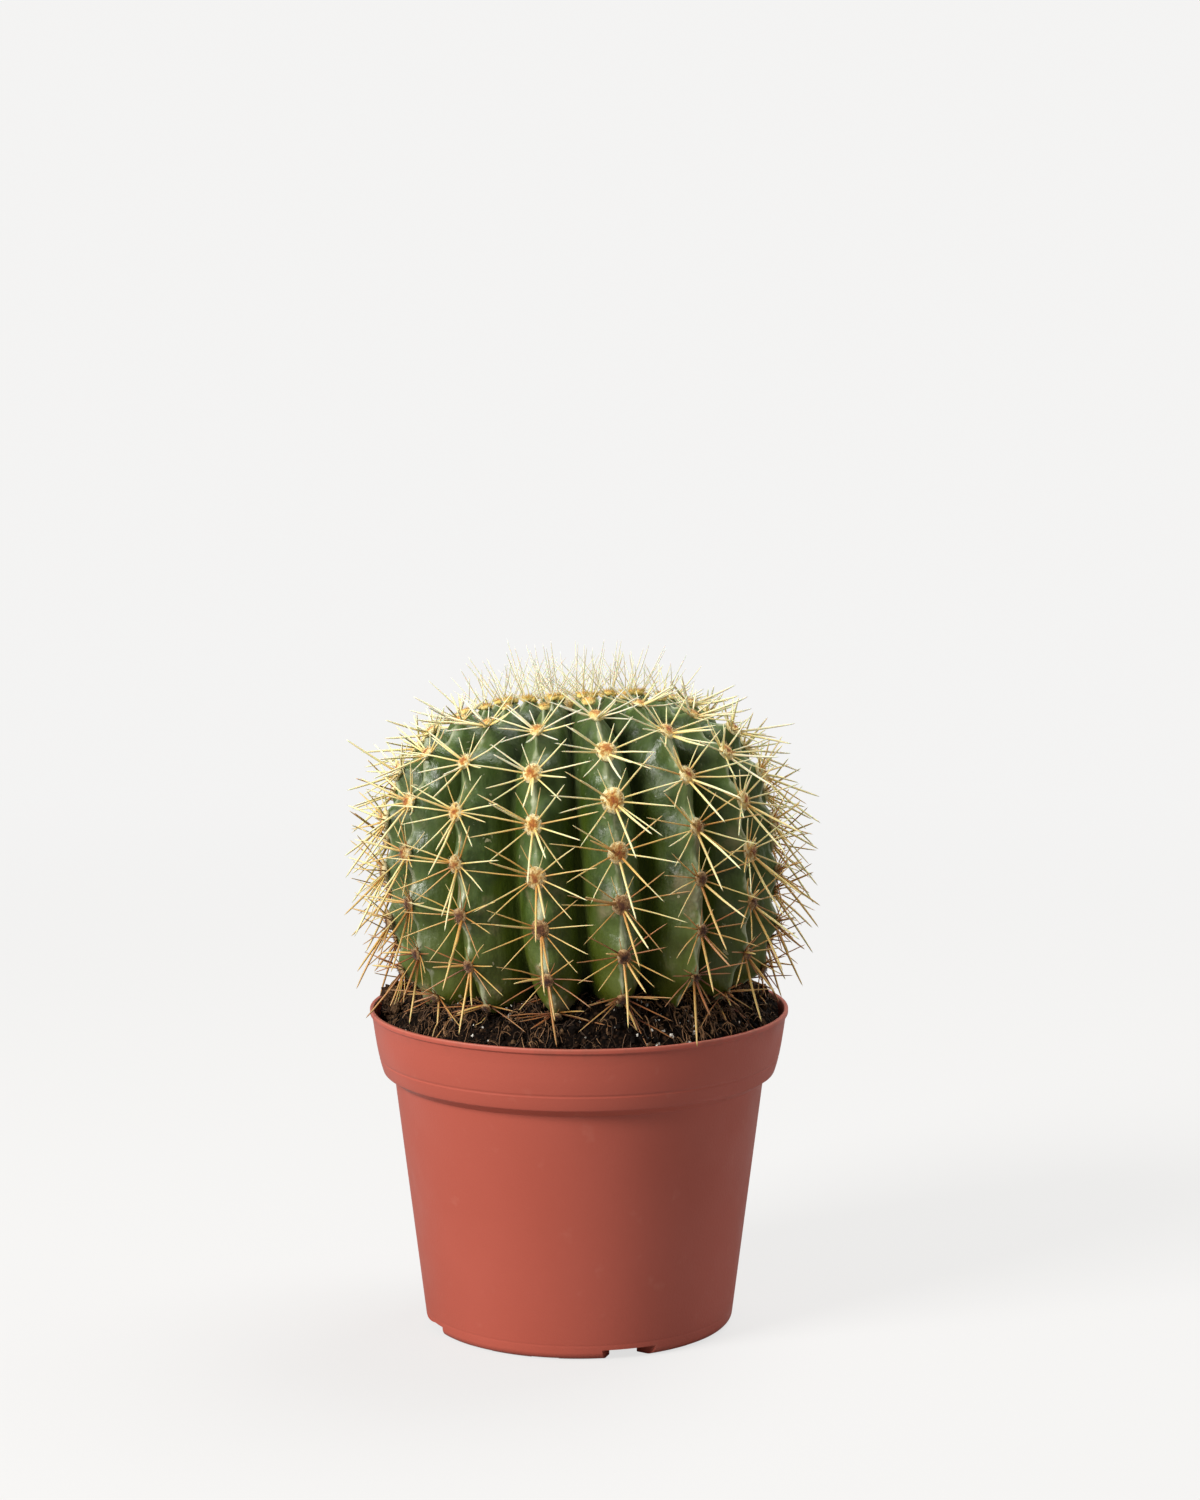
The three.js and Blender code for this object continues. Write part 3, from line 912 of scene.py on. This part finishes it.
# the chunks are x, y, size, tone and lift
crumbs = {
    "seed": 3, "squash": 0.55, "mostlySmall": 2.2, "widest": 1.3,
    "mostTurn": 6.3, "shift": 50, "lumps": [(1.7, 1), (4, 0.5)],
    "kinds": [{"facets": 1, "count": 5200, "size": (0.22, 1.1), "sunk": 0.25, "rough": 0.5, "tone": 1},
              {"facets": 2, "count": 170, "size": (1, 2.1), "sunk": 0.1, "rough": 0.9, "tone": 0.75}],
    "chunks": [(-50.2, 3, 4.4, 0.9, 0), (-46.5, -6, 2.6, 0.75, 0), (-51.5, -3.5, 2.6, 0.88, 0),
               (-47, 10, 3.2, 0.7, 0), (49.5, -5, 3, 0.85, 0), (52, 3, 3.1, 0.8, 0), (44, -15, 2.4, 0.9, 0),
               (-30, -38, 2.2, 0.8, 0), (-54.3, 4.5, 2.9, 0.85, -0.8), (-53.8, 1, 2.6, 0.8, -0.6),
               (-54.3, 8, 2.6, 0.8, -1)],
    "chunkSunk": 0.15, "chunkRough": 0.9,
}


def crumbMaterial():
    material, tree = newMaterial("peatCrumbs", {"Roughness": 0.8, "Specular IOR Level": 0.12})
    vector = objectPlace(tree)
    color = ramp(attribute(tree, "tone"),
                 [(0, 0.002, 0.0012, 0.0008), (0.55, 0.007, 0.0035, 0.002), (0.8, 0.045, 0.022, 0.011),
                  (1, 0.19, 0.11, 0.055)])
    color = coat(color, ((0.008, 0.005, 0.003), mottle(vector, 1200, 0.4, 0.6), 0.5))
    return finishMaterial(material, color, cloud(vector, 1800, 4), 0.0004)


def makeCrumbs():
    chance = random.Random(crumbs["seed"])
    bm = newTemplate("tone")
    for kind in crumbs["kinds"]:
        scatterGrains(bm, chance, kind)
    chunk = grainTemplate(3, "tone")
    for x, y, size, tone, lift in crumbs["chunks"]:
        addGrain(bm, chance, chunk, (x, y), size, crumbs["chunkSunk"] + lift / size, crumbs["chunkRough"], tone)
    addPiece("soilCrumbs", bm, crumbMaterial(), smoothShade=False)


perlite = {"seed": 8, "facets": 2, "count": 210, "size": (0.28, 0.8), "sunk": 0.3, "rough": 0.8, "tone": 1,
           "richTurn": 22, "richSpread": 50, "poorShare": 0.25}


def perliteMaterial():
    material, tree = newMaterial("perliteGrain", {"Roughness": 0.8})
    vector = objectPlace(tree)
    color = mixColor(mottle(vector, 1500, 0.4, 0.65), (0.82, 0.8, 0.74), (0.55, 0.52, 0.46))
    pores = addNode(tree, "TexVoronoi", {"Vector": vector, "Scale": 3500})
    return finishMaterial(material, color, pores.outputs["Distance"], 0.0002)


def makePerlite():
    chance = random.Random(perlite["seed"])
    bm = newTemplate("tone")
    scatterGrains(bm, chance, perlite)
    addPiece("perliteGrains", bm, perliteMaterial(), smoothShade=False)


def layNeedle(bm, template, spot, turn, length, radius, curl, lift, **values):
    # a thin bit that lies along the soil, following its rise and fall
    def move(point):
        angle = math.radians(turn) + curl * (point.z - 0.5)
        along = (point.z - 0.5) * length
        x, y = spot[0] + along * math.cos(angle), spot[1] + along * math.sin(angle)
        reach = math.hypot(x, y)
        if reach > soil["lieWithin"]:
            x, y = x * soil["lieWithin"] / reach, y * soil["lieWithin"] / reach
        z = crumbly(x, y) + radius + lift * math.sin(math.pi * point.z)
        side = Vector((-math.sin(angle), math.cos(angle), 0))
        return (Vector((x, y, z)) + (side * point.x + upright * point.y) * radius) * mm

    stamp(bm, template, move, **values)


def layBit(bm, template, chance, spot, kind, length=None):
    # one of a kind of bits, with what its kind leaves open drawn at random
    turn = chance.uniform(0, 360)
    length = length or pick(chance, kind["length"])
    radius = pick(chance, kind["thick"])
    curl = chance.uniform(-1, 1) * kind["curl"]
    lift = chance.uniform(0, kind["lift"])
    looks = {name: pick(chance, kind[name]) for name in ("age", "tone") if name in kind}
    looks["tone"] **= kind.get("darker", 1)
    layNeedle(bm, template, spot, turn, length, radius, curl, lift, **looks)


fibres = {"seed": 21, "count": 900, "length": (3, 14), "thick": (0.06, 0.18), "curl": 2.2, "lift": 1.6,
          "tone": (0, 1), "darker": 1.5}
# thicker curls of old root and husk
curls = {"count": 40, "length": (4, 8), "thick": 0.34, "curl": 3, "lift": 2.6, "tone": (0.3, 0.8), "within": 50}
# heaps of root bits, each with its azimuth, spread, count and tone
heaps = {"length": (2, 6), "thick": (0.1, 0.26), "curl": 2.6, "lift": 2.2, "radius": (38, 55.5),
         "places": [(44, 11, 330, (0.45, 0.95)), (-15, 5, 50, (0.6, 1)), (-52, 10, 130, (0.4, 0.9)),
                    (150, 20, 200, (0.4, 0.9))]}


def fibreMaterial():
    material, tree = newMaterial("peatFibre", {"Roughness": 0.75})
    color = ramp(attribute(tree, "tone"), [(0, 0.025, 0.013, 0.007), (0.5, 0.09, 0.045, 0.02),
                                           (0.85, 0.24, 0.12, 0.05), (1, 0.4, 0.22, 0.1)])
    return finishMaterial(material, color)


def makeFibres():
    chance = random.Random(fibres["seed"])
    bm = newTemplate("along", "tone")
    template = needleTemplate(3, [(step / 6, mix(1, 0.5, step / 6)) for step in range(7)], "tone")
    for number in range(fibres["count"]):
        spot = soilSpot(chance)
        layBit(bm, template, chance, spot, fibres, mix(*fibres["length"], chance.random() ** 2))
    for number in range(curls["count"]):
        layBit(bm, template, chance, soilSpot(chance, high=curls["within"]), curls)
    for middle, spread, count, tone in heaps["places"]:
        for number in range(count):
            layBit(bm, template, chance, heapSpot(chance, middle, spread), {**heaps, "tone": tone})
    addPiece("soilFibres", bm, fibreMaterial())


makeCrumbs()
makePerlite()
makeFibres()


# Spines: turn from straight up the rib, lift off the skin, length in mm and thickness

spines = {
    "sides": 5, "rootDepth": 1.2, "rootSpread": 0.55,
    "taper": [(0, 1.12), (0.12, 1), (0.5, 0.94), (0.8, 0.78), (0.94, 0.52), (1, 0.1)],
    "turnWobble": 16, "liftWobble": 10, "lengthWobble": 0.2, "bow": 0.045, "bowIn": 0.7,
    "clear": 0.5, "boxGap": 0.3, "rimGap": 1, "testShares": (0.35, 0.5, 0.65, 0.8, 1),
    "bendStep": 0.12, "mostBends": 12, "extraBends": 2, "shorterStep": 0.93, "shorterTries": 6,
    "side": [(-56, 27, 16, 0.28), (52, 27, 16, 0.28), (-108, 25, 17, 0.28), (112, 25, 17, 0.28),
             (180, 32, 21, 0.36), (-18, 20, 9, 0.19), (24, 18, 9.5, 0.19), (-82, 17, 20, 0.27),
             (82, 19, 20, 0.27), (-136, 20, 17, 0.25), (140, 22, 17.5, 0.25), (-66, 44, 15, 0.34),
             (158, 46, 20, 0.36)],
    "crown": [(-50, 52, 15.5, 0.155), (60, 55, 15.5, 0.155), (175, 66, 17, 0.18), (-105, 38, 15, 0.14)],
    "sideKept": 5, "crownKept": 3, "crownAreoles": 4,
    "centralFrom": 0.33, "centralYounger": 0.06, "oldThinner": 0.25, "oldFrom": 0.5, "oldTo": 0.8,
    # shares of the length by arc, for the shoulder, the first spines and the others
    "shoulderShares": [(14, 1), (24, 0.76), (38, 0.64), (52, 0.76), (66, 0.92), (80, 1)],
    "keptShorter": [(90, 1), (108, 0.85)], "extraShorter": [(70, 1), (94, 0.85), (108, 0.6), (121, 0.5)],
}
# dry ones that lie on the soil
fallen = {"seed": 4, "count": 46, "radius": (38, 54), "length": (7, 16), "thick": 0.24, "curl": 0.15,
          "lift": 1.8, "age": (0.65, 1.05), "tone": (0, 1)}


def isClear(point):
    # whether a point in mm keeps clear of the soil and the rim and stays in the solid's box
    for axis in range(3):
        low, high = cadBox[0][axis] / mm, cadBox[1][axis] / mm
        if not low + spines["boxGap"] < point[axis] < high - spines["boxGap"]:
            return False
    radius = math.hypot(point.x, point.y)
    if radius < pot["rim"] and point.z < soilTop(point.x, point.y) + spines["clear"]:
        return False
    besideRim = radius < pot["lipInner"] - spines["rimGap"] or radius > pot["rim"] + spines["rimGap"]
    return point.z > pot["height"] + spines["clear"] or besideRim


def openAreoles():
    # each areole's place on the skin with its own axes: to the side, up the rib and out
    found = []
    for rib in range(ribCount):
        for row, arc in enumerate(plant["areoleArcs"]):
            place = skin(rib, 0, arc)
            if row < 2 and (rib + row) % 2 == 1 or not isClear(planted(place) / mm):
                continue
            normal = crestAt(arc + ribShift(rib, arc))[1]
            turn = ribTurn(rib)
            out, up = spun(normal.x, normal.y, turn), spun(-normal.y, normal.x, turn)
            found.append({"rib": rib, "row": row, "arc": arc, "age": arc / plant["areoleArcs"][-1],
                          "place": place, "out": out, "up": up, "side": up.cross(out)})
    return found


areoles = openAreoles()


def spineAim(root, direction, length, mostBends):
    # bent up until it clears the soil, then shortened until it fits
    for shorter in range(spines["shorterTries"]):
        reach = length * spines["shorterStep"] ** shorter
        for bend in range(mostBends):
            aim = (direction + upright * (spines["bendStep"] * bend)).normalized()
            if all(isClear(planted(root + aim * reach * share) / mm) for share in spines["testShares"]):
                return aim, reach
    return None, 0


def growSpine(bm, template, areole, number, one, kept):
    turn, lift, length, thickness = one
    seed = 1000 * areole["rib"] + 10 * areole["row"] + number
    around = math.radians(turn + spines["turnWobble"] * (draw(seed) - 0.5))
    raised = math.radians(lift + spines["liftWobble"] * (draw(seed + 0.31) - 0.5))
    length *= table(spines["shoulderShares"], areole["arc"])
    length = length * (1 + spines["lengthWobble"] * (draw(seed + 0.62) - 0.5)) + spines["rootDepth"]
    length *= table(spines["keptShorter" if kept else "extraShorter"], areole["arc"])
    flat = areole["up"] * math.cos(around) + areole["side"] * math.sin(around)
    root = areole["place"] - areole["out"] * spines["rootDepth"] + flat * spines["rootSpread"]
    direction = flat * math.cos(raised) + areole["out"] * math.sin(raised)
    aim, reach = spineAim(root, direction, length, spines["mostBends"] if kept else spines["extraBends"])
    if aim is None:
        return
    age = areole["age"]
    if thickness > spines["centralFrom"]:
        age -= spines["centralYounger"]
    else:
        thickness *= 1 - spines["oldThinner"] * smooth(spines["oldFrom"], spines["oldTo"], age)
    bow = areole["out"] * (draw(seed + 0.17) - spines["bowIn"])
    bow += sideways(aim)[1] * (draw(seed + 0.53) - 0.5)
    growHair(bm, template, root, aim, reach, thickness, bow * reach * spines["bow"],
             age=age, tone=draw(seed + 0.9))


def sideways(aim):
    # two directions square to a needle
    across = aim.orthogonal().normalized()
    return across, aim.cross(across)


def growHair(bm, template, root, aim, length, thickness, bow=Vector(), **values):
    across, over = sideways(aim)

    def move(point):
        ring = (across * point.x + over * point.y) * thickness
        return planted(root + aim * length * point.z + bow * math.sin(math.pi * point.z) + ring)

    stamp(bm, template, move, **values)


def spineMaterial():
    material, tree = newMaterial("hornySpine", {
        "Roughness": 0.4, "Subsurface Weight": 0.15, "Subsurface Scale": 0.001})
    along, age, tone = (attribute(tree, name) for name in ("along", "age", "tone"))
    top = ramp(along, [(0, 0.64, 0.4, 0.13), (0.12, 0.8, 0.72, 0.42), (0.4, 0.83, 0.79, 0.58),
                       (1, 0.84, 0.82, 0.68)])
    young = ramp(along, [(0, 0.52, 0.2, 0.04), (0.12, 0.8, 0.56, 0.17), (0.35, 0.89, 0.78, 0.35),
                         (1, 0.91, 0.85, 0.52)])
    grown = ramp(along, [(0, 0.28, 0.075, 0.015), (0.15, 0.58, 0.27, 0.055), (0.45, 0.74, 0.48, 0.13),
                         (1, 0.76, 0.56, 0.22)])
    old = ramp(along, [(0, 0.05, 0.015, 0.008), (0.2, 0.2, 0.06, 0.022), (0.6, 0.42, 0.17, 0.055),
                       (1, 0.36, 0.18, 0.08)])
    aged = combine("ADD", age, between(tone, 0, 1, -0.14, 0.14))
    color = coat(top, (young, between(aged, 0.15, 0.45)), (grown, between(aged, 0.5, 0.76)),
                 (old, between(aged, 0.7, 1.05)))
    return finishMaterial(material, color)


def makeSpines():
    layers = ("age", "tone")
    bm = newTemplate("along", *layers)
    template = needleTemplate(spines["sides"], spines["taper"], *layers)
    for areole in areoles:
        kind = "crown" if areole["row"] < spines["crownAreoles"] else "side"
        for number, one in enumerate(spines[kind]):
            growSpine(bm, template, areole, number, one, number < spines[kind + "Kept"])
    material = spineMaterial()
    addPiece("cactusSpines", bm, material, ["cactus"])
    chance = random.Random(fallen["seed"])
    lying = newTemplate("along", *layers)
    for number in range(fallen["count"]):
        layBit(lying, template, chance, soilSpot(chance, *fallen["radius"]), fallen)
    addPiece("fallenSpines", lying, material)


makeSpines()


# Areole felt

felt = {
    "widths": [(6, 1.4), (20, 1.5), (28, 1.6), (38, 1.9), (52, 2.4), (66, 2.6), (80, 2.5), (94, 2.1),
               (108, 1.6), (121, 1.3)],
    "ribWidths": {15: 1.12, 0: 1.26, 3: 1.1, 6: 1.15, 9: 1.1, 12: 1.12}, "otherRibs": 0.95, "uneven": 0.22,
    "tall": 1.15, "proud": 0.22, "sunk": 0.3, "lumpy": 0.25, "lumpScale": 2.4, "padShift": 7.3,
    "padTone": 0.3,
    "seed": 5, "hairs": 96, "hairLength": (0.4, 1), "hairThin": 0.055, "hairReach": 0.95, "hairSunk": 0.1,
    "hairSpread": (0.3, 1.6), "hairMess": 0.35, "youngLonger": 1.3, "youngAges": (0.05, 0.3),
    "bristles": 14, "bristleLength": (0.9, 1.9), "bristleThin": 0.11, "bristleReach": 0.5,
    "bristleSpread": (0.4, 2.2), "bristlePad": 2.2, "bristleCentre": 0.3, "bristleTone": 0.85,
}


def feltMaterial():
    material, tree = newMaterial("areoleFelt", {"Roughness": 0.9, "Sheen Weight": 0.2})
    vector = objectPlace(tree)
    centre, age, tone = (attribute(tree, name) for name in ("fromCentre", "age", "tone"))
    patchy = combine("ADD", centre, between(mottle(vector, 900, 0.3, 0.7), 0, 1, -0.2, 0.2))
    young = ramp(patchy, [(0, 0.68, 0.3, 0.04), (0.5, 0.84, 0.52, 0.09), (1, 0.9, 0.69, 0.2)])
    grown = ramp(patchy, [(0, 0.3, 0.07, 0.01), (0.38, 0.52, 0.2, 0.03), (0.65, 0.8, 0.57, 0.2),
                          (1, 0.89, 0.81, 0.48)])
    old = ramp(patchy, [(0, 0.03, 0.009, 0.005), (0.45, 0.1, 0.032, 0.012), (0.75, 0.3, 0.14, 0.05),
                        (1, 0.5, 0.33, 0.15)])
    color = coat(young, (grown, between(age, 0.15, 0.4)), (old, between(age, 0.52, 0.85)),
                 ((0.24, 0.08, 0.02), between(tone, 0.75, 1, 0, 0.35)))
    return finishMaterial(material, color, cloud(vector, 2200, 3), 0.0004)


def growPad(bm, pad, areole, width):
    centre = areole["place"] - areole["out"] * felt["sunk"] * width
    axes = (areole["side"], areole["up"], areole["out"])
    scales = (width, width * felt["tall"], width * (felt["proud"] + felt["sunk"]))
    shift = Vector((areole["rib"], areole["row"], 0)) * felt["padShift"]

    def move(point):
        lumpy = 1 + felt["lumpy"] * noise.noise(point * felt["lumpScale"] + shift)
        parts = [axis * value * scale * lumpy for axis, value, scale in zip(axes, point, scales)]
        return planted(centre + sum(parts, Vector()))

    stamp(bm, pad, move, age=areole["age"], tone=felt["padTone"])


def growHairs(bm, hair, chance, areole, width):
    place, outward, age = areole["place"], areole["out"], areole["age"]
    younger = felt["youngLonger"] * (1 - smooth(*felt["youngAges"], age))
    for number in range(felt["hairs"]):
        angle, out = discSpot(chance)
        flat = areole["side"] * math.cos(angle) + areole["up"] * math.sin(angle) * felt["tall"]
        rise = felt["proud"] * math.sqrt(max(0, 1 - out * out)) - felt["hairSunk"]
        root = place + flat * width * out * felt["hairReach"] + outward * width * rise
        aim = outward + flat * mix(*felt["hairSpread"], out) + scatter(chance, felt["hairMess"])
        length = chance.uniform(*felt["hairLength"]) + younger
        growHair(bm, hair, root, aim.normalized(), length, felt["hairThin"], fromCentre=out, age=age,
                 tone=chance.random())
    for number in range(felt["bristles"]):
        angle, out = discSpot(chance)
        flat = areole["side"] * math.cos(angle) + areole["up"] * math.sin(angle)
        root = place + flat * width * out * felt["bristleReach"]
        aim = outward + flat * mix(*felt["bristleSpread"], out)
        length = chance.uniform(*felt["bristleLength"]) * width / felt["bristlePad"]
        growHair(bm, hair, root, aim.normalized(), length, felt["bristleThin"],
                 fromCentre=out * felt["bristleCentre"], age=age, tone=felt["bristleTone"])


def makeFelt():
    layers = ("fromCentre", "age", "tone")
    chance = random.Random(felt["seed"])
    bm = newTemplate("along", *layers)
    pad = grainTemplate(2, "along", *layers)
    layer = pad.verts.layers.float["fromCentre"]
    for vert in pad.verts:
        vert[layer] = math.hypot(vert.co.x, vert.co.y)
    hair = needleTemplate(3, [(0, 1), (1, 0.3)], *layers)
    for areole in areoles:
        width = table(felt["widths"], areole["arc"]) * felt["ribWidths"].get(areole["rib"], felt["otherRibs"])
        width *= 1 + felt["uneven"] * (draw(areole["rib"] * 17 + areole["row"]) - 0.5)
        growPad(bm, pad, areole, width)
        growHairs(bm, hair, chance, areole, width)
    addPiece("areoleFelt", bm, feltMaterial(), ["cactus"])


# Crown wool

wool = {"seed": 12, "radius": 8.5, "rise": 2.2, "lift": 0.4, "lumpy": 0.12, "lumpScale": 3, "tone": 0.35,
        "hairs": 1500, "length": (1.6, 3.6), "thin": 0.06, "reach": 0.98, "sunk": 0.3, "spread": 0.9,
        "mess": 0.35}


def woolMaterial():
    material, tree = newMaterial("crownWool", {"Roughness": 0.9, "Sheen Weight": 0.4})
    color = ramp(attribute(tree, "tone"), [(0, 0.7, 0.44, 0.14), (0.5, 0.84, 0.66, 0.3),
                                           (1, 0.88, 0.78, 0.5)])
    return finishMaterial(material, color)


def makeWool():
    chance = random.Random(wool["seed"])
    bm = newTemplate("along", "tone")
    centre = Vector((0, 0, plant["crest"][0][1] + wool["lift"]))
    size = Vector((wool["radius"], wool["radius"], wool["rise"]))

    def move(point):
        return planted(centre + point * size * (1 + wool["lumpy"] * noise.noise(point * wool["lumpScale"])))

    stamp(bm, grainTemplate(4, "along", "tone"), move, tone=wool["tone"])
    hair = needleTemplate(3, [(0, 1), (0.5, 0.7), (1, 0.3)], "tone")
    for number in range(wool["hairs"]):
        angle, out = discSpot(chance)
        flat = Vector((math.cos(angle), math.sin(angle), 0))
        root = centre + flat * wool["radius"] * out * wool["reach"]
        root.z += wool["rise"] * math.sqrt(max(0, 1 - out * out)) - wool["sunk"]
        aim = upright + flat * out * wool["spread"] + scatter(chance, wool["mess"])
        growHair(bm, hair, root, aim.normalized(), chance.uniform(*wool["length"]), wool["thin"],
                 tone=chance.random())
    addPiece("crownWool", bm, woolMaterial())


makeFelt()
makeWool()
